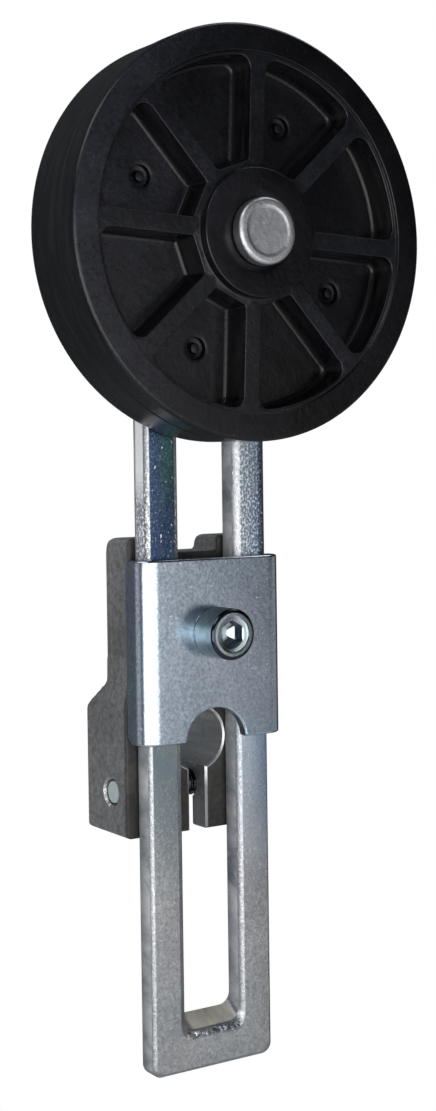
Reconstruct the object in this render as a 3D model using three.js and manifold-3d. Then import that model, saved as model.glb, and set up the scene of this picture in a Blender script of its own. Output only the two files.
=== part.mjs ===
// Adjustable roller lever for a position switch: a slotted steel lever, clamped to a
// cast hub by a folded cover plate, with a spoked rubber roller on a riveted axle pin.
//
// Frame, millimetres: the origin is on the axis of the hub's shaft bore, at the hub's back
// face, which meets the switch. +Z runs up the lever to the roller, -Y is the roller's side
// (the front) and +X is to the right seen from the front.

import * as THREE from 'three';
import { mergeVertices } from 'three/addons/utils/BufferGeometryUtils.js';
import Module from 'manifold-3d';

const wasm = await Module();
wasm.setup();

// Driving dimensions.
const CLEARANCE = 0.05; // between faces that slide on each other

const hub = {
  depth: 10.2, // back face to the face that carries the lever
  upperDepth: 5.9,
  halfWidth: 10.5,
  upperHalfWidth: 9.75,
  top: 25.9,
  bottom: -11.85,
  flareTop: 10.75, // the sides widen from here down to flareBottom
  flareBottom: 4.75,
  stepTop: 7.35, // the back slopes out from here down to stepBottom
  stepBottom: 3.95,
  topNotchHalfWidth: 3.5,
  topNotchFloor: 23.95,
  cornerRadius: 0.8,
  boreRadius: 4,
  slitHalfWidth: 1.2,
};

// Cored relief between the jaws, behind the front wall: a wedge that opens backwards.
const relief = { front: -6.95, frontHalfWidth: 2.2, backHalfWidth: 6.6, top: -6 };

const lever = {
  halfWidth: 9,
  thickness: 3.1,
  bottom: -41.65,
  bottomCorner: 1.4,
  edge: 0.7, // width of the broken long edges
  slotHalfWidth: 4.15,
  slotTop: 50.75,
  slotBottomFront: -37.05,
  slotBottomBack: -34.85,
  slotCorner: 1,
};

const cover = {
  sheet: 1.5,
  halfWidth: 10.6,
  top: 23.3,
  bottom: 0.3,
  bendRadius: 2.4, // outside of the fold
  flangeGap: 0.4, // flange edge to the hub
  flangeCorner: 1.2,
  notchRadius: 4.4,
  screwHoleRadius: 2.2,
};

const coverScrew = {
  z: 13.95,
  headRadius: 3.22,
  headHeight: 4.15,
  headEdge: 0.4,
  socketFlats: 3,
  socketDepth: 2.1,
};

const clampScrew = {
  y: -6.15,
  z: -6.45,
  seat: 6.4, // the head's underside, in the right jaw
  headRadius: 3.2,
  headEdge: 0.35,
  counterboreRadius: 3.45,
  clearanceRadius: 1.85,
  tipRadius: 1.4,
  tipRecess: 0.25,
  socketFlats: 3,
  socketDepth: 2,
};

// Both screws: the thread is a smooth cylinder near its core diameter.
const thread = { screwRadius: 1.63, holeRadius: 1.7, pitch: 0.7 };

const roller = {
  z: 62.75,
  radius: 25,
  width: 10.8,
  toLever: 1.15, // back face to the lever's front face
  edge: 0.4,
  rimInner: 21.6, // inside this radius the front face lies back from the rim
  rimRise: 0.4,
  spokes: 8,
  spokeHalfWidth: 1.1,
  turn: -2.3, // degrees, where the spokes rest
  pocketOuter: 21.2,
  pocketInner: 8.5, // distance of the pocket's straight inner end
  pocketCorner: 1.5,
  pocketDepth: 3.7,
  bossRadius: 7.8,
  frontBossRise: 1.2,
  backBossRise: 0.6,
  markCircle: 15.1,
  markRadius: 1.35,
  markPipRadius: 0.55,
  markDepth: 0.6,
};

const bush = { outerRadius: 3.9, innerRadius: 2.65, pressGap: 0.05 };

const pin = {
  headRadius: 4.05,
  headFront: -27.75,
  headEdge: 0.45,
  shankRadius: 2.58,
  tenonRadius: 2,
  tenonHoleRadius: 2.05,
  rivetRadius: 3.3,
  rivetHeight: 0.95,
};

const washer = { outerRadius: 6.2, innerRadius: 2.7, thickness: 0.45 };

// Planes across the depth, from the hub's back face at y = 0 to the front.
const hubFront = -hub.depth;
const leverBack = hubFront - CLEARANCE;
const leverFront = leverBack - lever.thickness;
const coverInside = leverFront - CLEARANCE;
const coverFront = coverInside - cover.sheet;
const rollerBack = leverFront - roller.toLever;
const rollerFront = rollerBack - roller.width;
const spokeFront = rollerFront + roller.rimRise;
const bossBack = rollerBack + roller.backBossRise;
const bossFront = spokeFront - roller.frontBossRise;

const FULL_TURN = 2 * Math.PI;
const ROUND = 48; // sides of a round piece
const SMALL_ROUND = 32;
const ROLLER_ROUND = 80;
const CUT = 1; // how far a cutter runs past the face it cuts

const colours = {
  rubber: { color: 0x1c1d20, roughness: 0.7, metalness: 0 },
  bronze: { color: 0x9a7a4a, roughness: 0.5, metalness: 1 },
  steel: { color: 0xb9bcc0, roughness: 0.4, metalness: 1 },
  zincPlate: { color: 0x9fa8ae, roughness: 0.35, metalness: 1 },
  casting: { color: 0x5d5d5c, roughness: 0.65, metalness: 0.6 },
};

const materialOf = (name) => new THREE.MeshStandardMaterial(colours[name]);

const point = (a, b) => new THREE.Vector2(a, b);

// Six times the signed volume of an indexed mesh, positive when its faces point out.
function signedVolume(corners, triangles) {
  const [a, b, c] = [new THREE.Vector3(), new THREE.Vector3(), new THREE.Vector3()];
  let sum = 0;
  for (let i = 0; i < triangles.length; i += 3) {
    a.fromArray(corners, 3 * triangles[i]);
    b.fromArray(corners, 3 * triangles[i + 1]);
    c.fromArray(corners, 3 * triangles[i + 2]);
    sum += a.dot(b.cross(c));
  }
  return sum;
}

// A closed geometry as a solid that can be joined and cut.
function solidOf(geometry) {
  const bare = geometry.clone();
  bare.deleteAttribute('normal');
  bare.deleteAttribute('uv');
  const merged = mergeVertices(bare, 1e-4);
  const corners = merged.attributes.position.array;
  const index = merged.index.array;
  const triangles = [];
  for (let i = 0; i < index.length; i += 3) {
    const [a, b, c] = [index[i], index[i + 1], index[i + 2]];
    if (a !== b && b !== c && c !== a) triangles.push(a, b, c);
  }
  if (signedVolume(corners, triangles) < 0) triangles.reverse();
  return new wasm.Manifold(new wasm.Mesh({
    numProp: 3,
    vertProperties: new Float32Array(corners),
    triVerts: new Uint32Array(triangles),
  }));
}

function meshOf(name, solid, colour) {
  const { vertProperties, triVerts } = solid.getMesh();
  const geometry = new THREE.BufferGeometry();
  geometry.setAttribute('position', new THREE.BufferAttribute(new Float32Array(vertProperties), 3));
  geometry.setIndex(new THREE.BufferAttribute(new Uint32Array(triVerts), 1));
  geometry.computeVertexNormals();
  const mesh = new THREE.Mesh(geometry, materialOf(colour));
  mesh.name = name;
  return mesh;
}

// A profile of (radius, y) points turned about a line along Y at height z.
function turned(profile, z = 0, sides = ROUND) {
  return solidOf(new THREE.LatheGeometry(profile, sides).translate(0, 0, z));
}

// A cylinder along Y from yLow to yHigh.
function rodAlongY(radius, yLow, yHigh, x, z, sides = SMALL_ROUND) {
  const rod = new THREE.CylinderGeometry(radius, radius, yHigh - yLow, sides);
  return solidOf(rod.translate(x, (yLow + yHigh) / 2, z));
}

// A cylinder along X from xLow to xHigh.
function rodAlongX(radius, xLow, xHigh, y, z, sides = SMALL_ROUND) {
  const rod = new THREE.CylinderGeometry(radius, radius, xHigh - xLow, sides);
  rod.rotateZ(Math.PI / 2);
  return solidOf(rod.translate((xLow + xHigh) / 2, y, z));
}

function block([xLow, yLow, zLow], [xHigh, yHigh, zHigh]) {
  const box = new THREE.BoxGeometry(xHigh - xLow, yHigh - yLow, zHigh - zLow);
  return solidOf(box.translate((xLow + xHigh) / 2, (yLow + yHigh) / 2, (zLow + zHigh) / 2));
}

// A front view (x, z) given thickness from yFront to yBack, with its edges broken by `edge`.
function plateOf(frontView, yFront, yBack, edge = 0, curveSegments = 8) {
  const plate = new THREE.ExtrudeGeometry(frontView, {
    depth: yBack - yFront - 2 * edge,
    bevelEnabled: edge > 0,
    bevelThickness: edge,
    bevelSize: edge,
    bevelOffset: -edge,
    bevelSegments: 2,
    curveSegments,
  });
  return solidOf(plate.rotateX(Math.PI / 2).translate(0, yBack - edge, 0));
}

// A side view (y, z) given width from -halfWidth to +halfWidth.
function sidePrism(sideView, halfWidth, curveSegments = 6) {
  const prism = new THREE.ExtrudeGeometry(sideView, {
    depth: 2 * halfWidth,
    bevelEnabled: false,
    curveSegments,
  });
  prism.rotateX(Math.PI / 2).rotateZ(Math.PI / 2);
  return solidOf(prism.translate(-halfWidth, 0, 0));
}

// A plan view (x, y) given height from zLow to zHigh.
function planPrism(planView, zLow, zHigh, curveSegments = 6) {
  const prism = new THREE.ExtrudeGeometry(planView, {
    depth: zHigh - zLow,
    bevelEnabled: false,
    curveSegments,
  });
  return solidOf(prism.translate(0, 0, zLow));
}

// A closed outline through (a, b, radius) corners, each rounded by its radius.
function roundedOutline(corners) {
  const outline = new THREE.Shape();
  corners.forEach(([a, b, radius], i) => {
    const corner = point(a, b);
    const before = point(...corners.at(i - 1).slice(0, 2)).sub(corner);
    const after = point(...corners[(i + 1) % corners.length].slice(0, 2)).sub(corner);
    const halfAngle = Math.abs(before.angleTo(after)) / 2;
    const reach = radius / Math.tan(halfAngle);
    const start = corner.clone().addScaledVector(before.normalize(), reach);
    const end = corner.clone().addScaledVector(after.normalize(), reach);
    if (i === 0) outline.moveTo(start.x, start.y);
    else outline.lineTo(start.x, start.y);
    if (radius > 0) outline.quadraticCurveTo(a, b, end.x, end.y);
  });
  outline.closePath();
  return outline;
}

function hexagon(acrossFlats) {
  const cornerRadius = acrossFlats / Math.sqrt(3);
  const sides = 6;
  return [...Array(sides).keys()].map((i) => {
    const angle = (i * FULL_TURN) / sides;
    return [cornerRadius * Math.cos(angle), cornerRadius * Math.sin(angle), 0];
  });
}

// Cast hub: upright that carries the lever, and two jaws that close on the shaft.
function makeHub() {
  const half = hub.halfWidth;
  const upper = hub.upperHalfWidth;
  const round = hub.cornerRadius;
  const horn = 0.5;
  const rightSide = [
    [half, hub.bottom, round],
    [half, hub.flareBottom, 0.6],
    [upper + 0.12, (hub.flareTop + hub.flareBottom) / 2, 1.5],
    [upper, hub.flareTop, 0],
    [upper, hub.top, 0.8],
    [hub.topNotchHalfWidth, hub.top, horn],
    [hub.topNotchHalfWidth, hub.topNotchFloor, horn],
  ];
  const leftSide = rightSide.map(([x, z, radius]) => [-x, z, radius]).reverse();
  const frontView = roundedOutline([...rightSide, ...leftSide]);
  const upperBack = hubFront + hub.upperDepth;
  const sideView = roundedOutline([
    [hubFront, hub.bottom, 0],
    [0, hub.bottom, 0.5],
    [0, hub.stepBottom, 1],
    [upperBack, hub.stepTop, 1],
    [upperBack, hub.top, 1.8],
    [hubFront, hub.top, 0],
  ]);
  const reliefView = roundedOutline([
    [-relief.frontHalfWidth, relief.front, 0],
    [relief.frontHalfWidth, relief.front, 0],
    [relief.backHalfWidth + 0.6, CUT, 0],
    [-relief.backHalfWidth - 0.6, CUT, 0],
  ]);
  const slit = hub.slitHalfWidth;
  const { y, z, seat } = clampScrew;
  return plateOf(frontView, hubFront, 0)
    .intersect(sidePrism(sideView, half + CUT))
    .subtract(rodAlongY(hub.boreRadius, hubFront - CUT, CUT, 0, 0, ROUND))
    .subtract(block([-slit, hubFront - CUT, hub.bottom - CUT], [slit, CUT, 0]))
    .subtract(planPrism(reliefView, hub.bottom - CUT, relief.top))
    .subtract(rodAlongX(thread.holeRadius, -half - CUT, 0, y, z))
    .subtract(rodAlongX(clampScrew.clearanceRadius, 0, seat + CUT, y, z))
    .subtract(rodAlongX(clampScrew.counterboreRadius, seat, half + CUT, y, z))
    .subtract(rodAlongY(thread.holeRadius, hubFront - CUT, upperBack + CUT, 0, coverScrew.z));
}

// Steel lever: a slotted bar with a round upper end about the roller's axle.
function makeLever() {
  const half = lever.halfWidth;
  const corner = lever.bottomCorner;
  const outline = new THREE.Shape();
  outline.moveTo(-half + corner, lever.bottom);
  outline.lineTo(half - corner, lever.bottom);
  outline.quadraticCurveTo(half, lever.bottom, half, lever.bottom + corner);
  outline.lineTo(half, roller.z);
  outline.absarc(0, roller.z, half, 0, Math.PI);
  outline.lineTo(-half, lever.bottom + corner);
  outline.quadraticCurveTo(-half, lever.bottom, -half + corner, lever.bottom);
  const slotView = roundedOutline([
    [-lever.slotHalfWidth, lever.slotBottomFront - CUT, 0],
    [lever.slotHalfWidth, lever.slotBottomFront - CUT, 0],
    [lever.slotHalfWidth, lever.slotTop, lever.slotCorner],
    [-lever.slotHalfWidth, lever.slotTop, lever.slotCorner],
  ]);
  // The slot's lower end slopes, down to the front.
  const slope = (lever.slotBottomBack - lever.slotBottomFront) / lever.thickness;
  const slotSide = roundedOutline([
    [leverFront - CUT, lever.slotBottomFront - slope * CUT, 0],
    [leverBack + CUT, lever.slotBottomBack + slope * CUT, 0],
    [leverBack + CUT, lever.slotTop + CUT, 0],
    [leverFront - CUT, lever.slotTop + CUT, 0],
  ]);
  const slot = plateOf(slotView, leverFront - CUT, leverBack + CUT)
    .intersect(sidePrism(slotSide, half));
  return plateOf(outline, leverFront, leverBack, lever.edge)
    .subtract(slot)
    .subtract(rodAlongY(pin.tenonHoleRadius, leverFront - CUT, leverBack + CUT, 0, roller.z));
}

// Folded cover plate: a front sheet with a flange down each side of the lever.
function makeCoverPlate() {
  const outer = cover.halfWidth;
  const inner = outer - cover.sheet;
  const insideBend = cover.bendRadius - cover.sheet;
  const flangeBack = hubFront - cover.flangeGap;
  const section = roundedOutline([
    [-outer, flangeBack, 0.3],
    [-outer, coverFront, cover.bendRadius],
    [outer, coverFront, cover.bendRadius],
    [outer, flangeBack, 0.3],
    [inner, flangeBack, 0.3],
    [inner, coverInside, insideBend],
    [-inner, coverInside, insideBend],
    [-inner, flangeBack, 0.3],
  ]);
  const sideView = roundedOutline([
    [coverFront - CUT, cover.bottom, 0],
    [flangeBack, cover.bottom, cover.flangeCorner],
    [flangeBack, cover.top, cover.flangeCorner],
    [coverFront - CUT, cover.top, 0],
  ]);
  return planPrism(section, cover.bottom - CUT, cover.top + CUT)
    .intersect(sidePrism(sideView, outer + CUT))
    .subtract(rodAlongY(cover.notchRadius, coverFront - CUT, flangeBack, 0, 0, ROUND))
    .subtract(rodAlongY(cover.screwHoleRadius, coverFront - CUT, flangeBack, 0, coverScrew.z));
}

// Socket cap screw that clamps the cover plate and the lever to the hub.
function makeCoverScrew() {
  const seat = coverFront - CLEARANCE;
  const crown = seat - coverScrew.headHeight;
  const end = hubFront + hub.upperDepth - 0.6;
  const { headRadius, headEdge } = coverScrew;
  const screw = turned([
    point(0, crown),
    point(headRadius - headEdge, crown),
    point(headRadius, crown + headEdge),
    point(headRadius, seat),
    point(thread.screwRadius, seat),
    point(thread.screwRadius, end - 0.4),
    point(thread.screwRadius - 0.4, end),
    point(0, end),
  ], coverScrew.z, SMALL_ROUND);
  const corners = hexagon(coverScrew.socketFlats).map(([x, z]) => [x, z + coverScrew.z, 0]);
  const socket = plateOf(roundedOutline(corners), crown - CUT, crown + coverScrew.socketDepth);
  return screw.subtract(socket);
}

// Socket cap screw across the jaws, sunk in the right one and tapped into the left one.
function makeClampScrew() {
  const { y, z, seat, headRadius, headEdge, tipRadius } = clampScrew;
  const head = seat + CLEARANCE;
  const crown = hub.halfWidth - 0.1;
  const tip = -hub.halfWidth + clampScrew.tipRecess;
  const chamfer = thread.screwRadius - tipRadius;
  const geometry = new THREE.LatheGeometry([
    point(0, tip),
    point(tipRadius, tip),
    point(thread.screwRadius, tip + chamfer),
    point(thread.screwRadius, head),
    point(headRadius, head),
    point(headRadius, crown - headEdge),
    point(headRadius - headEdge, crown),
    point(0, crown),
  ], SMALL_ROUND);
  geometry.rotateZ(-Math.PI / 2).translate(0, y, z);
  const socketView = roundedOutline(hexagon(clampScrew.socketFlats));
  const socket = new THREE.ExtrudeGeometry(socketView, {
    depth: clampScrew.socketDepth + CUT,
    bevelEnabled: false,
  });
  socket.rotateY(Math.PI / 2).translate(crown - clampScrew.socketDepth, y, z);
  return solidOf(geometry).subtract(solidOf(socket));
}

// One pocket between two spokes, as a front view about the roller's axle.
function pocketView(spokeAngle) {
  const step = FULL_TURN / roller.spokes;
  const side = roller.spokeHalfWidth;
  const corner = roller.pocketCorner;
  const cornerCircle = roller.pocketOuter - corner;
  const sweep = Math.asin((side + corner) / cornerCircle);
  const middle = spokeAngle + step / 2;
  const innerHalf = roller.pocketInner * Math.tan(step / 2) - side / Math.cos(step / 2);
  const inner = (sign) => point(roller.pocketInner, sign * innerHalf)
    .rotateAround(point(0, 0), middle);
  const first = spokeAngle + sweep;
  const last = spokeAngle + step - sweep;
  const centre = (angle) => point(Math.cos(angle), Math.sin(angle)).multiplyScalar(cornerCircle);
  const view = new THREE.Shape();
  const [a, b, c] = [inner(-1), centre(first), centre(last)];
  const d = inner(1);
  const quarter = Math.PI / 2;
  view.moveTo(a.x, a.y);
  view.absarc(b.x, b.y, corner, spokeAngle - quarter, first);
  view.absarc(0, 0, roller.pocketOuter, first, last);
  view.absarc(c.x, c.y, corner, last, spokeAngle + step + quarter);
  view.lineTo(d.x, d.y);
  view.closePath();
  return view;
}

// Moulded rubber roller: rim, eight spokes and a boss, with pockets in both faces.
function makeRoller() {
  const { radius, edge, bossRadius, rimInner, spokes } = roller;
  const bore = bush.outerRadius + bush.pressGap;
  const lean = edge * (1 - Math.SQRT1_2);
  let body = turned([
    point(bore, bossFront),
    point(bossRadius - 0.2, bossFront),
    point(bossRadius, bossFront + 0.2),
    point(bossRadius, spokeFront),
    point(rimInner, spokeFront),
    point(rimInner + 0.2, rollerFront),
    point(radius - edge, rollerFront),
    point(radius - lean, rollerFront + lean),
    point(radius, rollerFront + edge),
    point(radius, rollerBack - edge),
    point(radius - lean, rollerBack - lean),
    point(radius - edge, rollerBack),
    point(bossRadius, rollerBack),
    point(bossRadius, bossBack - 0.2),
    point(bossRadius - 0.2, bossBack),
    point(bore, bossBack),
    point(bore, bossFront),
  ], 0, ROLLER_ROUND);
  const step = FULL_TURN / spokes;
  for (let i = 0; i < spokes; i += 1) {
    const view = pocketView(i * step);
    body = body
      .subtract(plateOf(view, rollerFront - CUT, spokeFront + roller.pocketDepth, 0, 5))
      .subtract(plateOf(view, rollerBack - roller.pocketDepth, rollerBack + CUT, 0, 5));
  }
  // Round marks with a pip, on the floor of every second front pocket.
  const floor = spokeFront + roller.pocketDepth;
  const sides = 20;
  for (let i = 1; i < spokes; i += 2) {
    const angle = (i + 0.5) * step;
    const x = roller.markCircle * Math.cos(angle);
    const z = roller.markCircle * Math.sin(angle);
    const dish = rodAlongY(roller.markRadius, floor - CUT, floor + roller.markDepth, x, z, sides);
    const pip = rodAlongY(roller.markPipRadius, floor - 2 * CUT, floor + CUT, x, z, sides);
    body = body.subtract(dish.subtract(pip));
  }
  return body;
}

// Plain bush pressed in the roller.
function makeBush() {
  const ends = [bossFront, bossBack - 0.02];
  return turned([
    point(bush.innerRadius, ends[0]),
    point(bush.outerRadius, ends[0]),
    point(bush.outerRadius, ends[1]),
    point(bush.innerRadius, ends[1]),
    point(bush.innerRadius, ends[0]),
  ], 0);
}

// Thrust washer between the roller's boss and the lever.
function makeWasher() {
  const back = leverFront - 0.02;
  const front = back - washer.thickness;
  return turned([
    point(washer.innerRadius, front),
    point(washer.outerRadius, front),
    point(washer.outerRadius, back),
    point(washer.innerRadius, back),
    point(washer.innerRadius, front),
  ], roller.z);
}

// Headed axle pin: shoulder against the lever, tail riveted over behind it.
function makeAxlePin() {
  const { headRadius, headFront, headEdge, shankRadius, tenonRadius, rivetRadius } = pin;
  const underHead = bossFront - CLEARANCE;
  const lean = headEdge * (1 - Math.SQRT1_2);
  const rivetFace = leverBack + 0.02;
  const rivetEnd = rivetFace + pin.rivetHeight;
  return turned([
    point(0, headFront),
    point(headRadius - headEdge, headFront),
    point(headRadius - lean, headFront + lean),
    point(headRadius, headFront + headEdge),
    point(headRadius, underHead),
    point(shankRadius, underHead),
    point(shankRadius, leverFront - 0.01),
    point(tenonRadius, leverFront - 0.01),
    point(tenonRadius, rivetFace),
    point(rivetRadius, rivetFace),
    point(rivetRadius - 0.25, rivetFace + 0.45),
    point(rivetRadius - 1.1, rivetEnd - 0.12),
    point(rivetRadius - 2, rivetEnd),
    point(0, rivetEnd),
  ], roller.z);
}

const group = new THREE.Group();
group.add(
  meshOf('hub', makeHub(), 'casting'),
  meshOf('slotted_lever', makeLever(), 'zincPlate'),
  meshOf('cover_plate', makeCoverPlate(), 'zincPlate'),
  meshOf('cover_screw', makeCoverScrew(), 'steel'),
  meshOf('clamp_screw', makeClampScrew(), 'steel'),
  meshOf('axle_pin', makeAxlePin(), 'steel'),
  meshOf('thrust_washer', makeWasher(), 'steel'),
);

// The roller and its bush turn together about the axle.
const rollerSet = new THREE.Group();
rollerSet.position.z = roller.z;
rollerSet.rotation.y = THREE.MathUtils.degToRad(-roller.turn);
rollerSet.add(meshOf('roller', makeRoller(), 'rubber'), meshOf('roller_bush', makeBush(), 'bronze'));
group.add(rollerSet);

export default group;
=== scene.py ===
"""Looks for the adjustable roller lever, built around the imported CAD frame.

Shapes are made in millimetres, in the part's frame (x right, y back, z up), and scaled to metres when
a piece is finished. Places come from the CAD nodes' boxes.
"""

import math

import bmesh
import bpy
import numpy as np
from mathutils import Matrix, Vector
from mathutils.geometry import delaunay_2d_cdt


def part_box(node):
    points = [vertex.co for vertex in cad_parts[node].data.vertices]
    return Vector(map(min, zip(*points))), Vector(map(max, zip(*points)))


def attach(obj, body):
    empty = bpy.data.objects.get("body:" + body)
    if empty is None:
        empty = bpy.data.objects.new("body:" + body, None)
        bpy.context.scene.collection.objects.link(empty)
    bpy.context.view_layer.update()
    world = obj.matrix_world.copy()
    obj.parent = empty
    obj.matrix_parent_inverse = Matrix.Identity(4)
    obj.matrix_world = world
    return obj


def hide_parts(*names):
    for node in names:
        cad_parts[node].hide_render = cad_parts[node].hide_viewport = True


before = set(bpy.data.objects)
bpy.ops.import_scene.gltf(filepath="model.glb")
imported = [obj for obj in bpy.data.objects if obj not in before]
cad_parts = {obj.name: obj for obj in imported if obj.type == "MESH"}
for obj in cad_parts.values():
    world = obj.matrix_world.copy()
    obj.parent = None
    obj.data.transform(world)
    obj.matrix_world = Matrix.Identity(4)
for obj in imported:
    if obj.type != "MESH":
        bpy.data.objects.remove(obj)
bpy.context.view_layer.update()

MM = 0.001
TURN = 2 * math.pi


# ---- places from the frame

def node_box(name):
    """Lowest and highest corner of a CAD node, in millimetres."""
    low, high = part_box(name)
    return np.array(low) / MM, np.array(high) / MM


HUB_LOW, HUB_HIGH = node_box("hub")
LEVER_LOW, LEVER_HIGH = node_box("slotted_lever")
COVER_LOW, COVER_HIGH = node_box("cover_plate")
COVER_SCREW_LOW, COVER_SCREW_HIGH = node_box("cover_screw")
CLAMP_SCREW_LOW, CLAMP_SCREW_HIGH = node_box("clamp_screw")
PIN_LOW, PIN_HIGH = node_box("axle_pin")
WASHER_LOW, WASHER_HIGH = node_box("thrust_washer")
BUSH_LOW, BUSH_HIGH = node_box("roller_bush")
ROLLER_LOW, ROLLER_HIGH = node_box("roller")

AXLE_Z = (PIN_LOW[2] + PIN_HIGH[2]) / 2
COVER_SCREW_Z = (COVER_SCREW_LOW[2] + COVER_SCREW_HIGH[2]) / 2
CLAMP_Y = (CLAMP_SCREW_LOW[1] + CLAMP_SCREW_HIGH[1]) / 2
CLAMP_Z = (CLAMP_SCREW_LOW[2] + CLAMP_SCREW_HIGH[2]) / 2
TREAD_SEAM = ROLLER_LOW[1] + 4.5  # where the two halves of the roller's mould met
ROLLER_RADIUS = 25.0
FRONT_BOSS_RISE, BACK_BOSS_RISE = 1.2, 0.6  # how far the bosses stand out of the spokes
RIM_RISE = 0.4  # the front of the rim stands out of the spokes
BORE_RADIUS = 4.0
SLIT_HALF, SLIT_MOUTH = 1.2, 1.45  # half the slit's width inside and at its chamfered mouth
UPRIGHT_FOOT = 10.75  # height at which the hub's upright leaves its jaws
PARTING_Y = -5.4  # where the two halves of the hub's mould met
CLAMP_SEAT = 6.4  # the clamp screw's head sits at this place along x


# ---- outlines

def arc(centre, radius, start, end, steps):
    """Points of an arc, angles in radians, both ends included."""
    angles = np.linspace(start, end, steps + 1)
    return [(centre[0] + radius * math.cos(a), centre[1] + radius * math.sin(a)) for a in angles]


def circle(radius, steps, centre=(0, 0), start=0.0):
    return arc(centre, radius, start, start + TURN, steps)[:-1]


def filleted(corners, steps=6, closed=True):
    """A path through (a, b, radius) corners, each one rounded by a true arc of its radius."""
    points = []
    count = len(corners)
    for i, (a, b, radius) in enumerate(corners):
        here = np.array((a, b), float)
        is_end = not closed and i in (0, count - 1)
        if radius == 0 or is_end:
            points.append((a, b))
            continue
        before = np.array(corners[i - 1][:2], float) - here
        after = np.array(corners[(i + 1) % count][:2], float) - here
        before /= np.linalg.norm(before)
        after /= np.linalg.norm(after)
        half = math.acos(np.clip(before @ after, -1, 1)) / 2
        middle = before + after
        centre = here + middle / np.linalg.norm(middle) * radius / math.sin(half)
        first = here + before * radius / math.tan(half) - centre
        last = here + after * radius / math.tan(half) - centre
        start = math.atan2(first[1], first[0])
        sweep = (math.atan2(last[1], last[0]) - start + math.pi) % TURN - math.pi
        points += arc(centre, radius, start, start + sweep, steps)
    return points


def grown(points, distance):
    """A counterclockwise closed outline moved outwards by distance (inwards if negative)."""
    p = np.array(points, float)
    along = np.roll(p, -1, axis=0) - p
    along /= np.linalg.norm(along, axis=1)[:, None]
    normal = np.stack([along[:, 1], -along[:, 0]], axis=1)
    before = np.roll(normal, 1, axis=0)
    share = 1 + np.sum(normal * before, axis=1)
    return p + distance * (normal + before) / share[:, None]


def quarter(size, steps):
    """Steps of a quarter round: (inset from the wall, depth from the face)."""
    angles = np.linspace(0, math.pi / 2, steps + 1)
    return [(size * (1 - math.sin(a)), size * (1 - math.cos(a))) for a in angles]


# ---- meshes

class Shell:
    """Points and faces of one closed surface, in millimetres."""

    def __init__(self):
        self.points = []
        self.faces = []

    def ring(self, points):
        first = len(self.points)
        self.points += [tuple(p) for p in points]
        return list(range(first, len(self.points)))

    def round(self, place, radius, depth, steps):
        """A round ring about the piece's own axis."""
        return self.ring([place(u, v, depth) for u, v in circle(radius, steps)])

    def bridge(self, a, b):
        for i in range(len(a)):
            j = (i + 1) % len(a)
            self.faces.append((a[i], a[j], b[j], b[i]))

    def bridge_all(self, rings):
        for a, b in zip(rings, rings[1:]):
            self.bridge(a, b)

    def fan(self, ring, tip):
        centre = self.ring([tip])[0]
        for i in range(len(ring)):
            self.faces.append((ring[i], ring[(i + 1) % len(ring)], centre))

    def fill(self, outer, holes, flat):
        """Triangles between the outer ring and the hole rings; flat(point) gives plane coordinates."""
        rings = [outer, *holes]
        ids = [i for ring in rings for i in ring]
        plane = [Vector(flat(self.points[i])) for i in ids]
        edges = []
        start = 0
        for ring in rings:
            edges += [(start + i, start + (i + 1) % len(ring)) for i in range(len(ring))]
            start += len(ring)
        _, _, triangles, origins, _, _ = delaunay_2d_cdt(plane, edges, [], 0, 1e-7)
        loops = [np.array([flat(self.points[i]) for i in ring], float) for ring in rings]
        for triangle in triangles:
            corners = [origins[k][0] for k in triangle]
            middle = np.mean([plane[k][:] for k in corners], axis=0)
            if inside(middle, loops[0]) and not any(inside(middle, hole) for hole in loops[1:]):
                self.faces.append(tuple(ids[k] for k in corners))

    def mesh(self, name):
        data = bpy.data.meshes.new(name)
        data.from_pydata(self.points, [], self.faces)
        work = bmesh.new()
        work.from_mesh(data)
        bmesh.ops.recalc_face_normals(work, faces=work.faces)
        if work.calc_volume(signed=True) < 0:
            bmesh.ops.reverse_faces(work, faces=work.faces)
        work.to_mesh(data)
        work.free()
        return data

    def made(self, name):
        return new_object(name, self.mesh(name))


def inside(point, loop):
    """True if a point lies inside a closed loop, by crossings of a line to its right."""
    x, y = point
    ax, ay = loop[:, 0], loop[:, 1]
    bx, by = np.roll(ax, -1), np.roll(ay, -1)
    crosses = (ay > y) != (by > y)
    with np.errstate(divide="ignore", invalid="ignore"):
        at = (bx - ax) * (y - ay) / (by - ay) + ax
    return np.count_nonzero(crosses & (x < at)) % 2 == 1


def new_object(name, data):
    made = bpy.data.objects.new(name, data)
    bpy.context.scene.collection.objects.link(made)
    return made


def settle(obj):
    """Replaces an object's mesh by what its modifiers make of it."""
    bpy.context.view_layer.update()
    graph = bpy.context.evaluated_depsgraph_get()
    data = bpy.data.meshes.new_from_object(obj.evaluated_get(graph))
    obj.modifiers.clear()
    obj.data = data


def boolean(obj, cutter, operation):
    """Joins, cuts or intersects with another object, which is then removed."""
    tool = obj.modifiers.new("boolean", "BOOLEAN")
    tool.object = cutter
    tool.operation = operation
    tool.solver = "EXACT"
    settle(obj)
    bpy.data.objects.remove(cutter)


def prism(name, outline, low, high, place):
    """An outline given thickness; place(a, b, depth) turns its coordinates into (x, y, z)."""
    shell = Shell()
    rings = [shell.ring([place(a, b, depth) for a, b in outline]) for depth in (low, high)]
    shell.bridge(*rings)
    flat = {rings[k][i]: outline[i] for k in (0, 1) for i in range(len(outline))}
    lookup = {shell.points[i]: flat[i] for i in flat}
    for ring in rings:
        shell.fill(ring, [], lambda p: lookup[tuple(p)])
    return shell.made(name)


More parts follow.
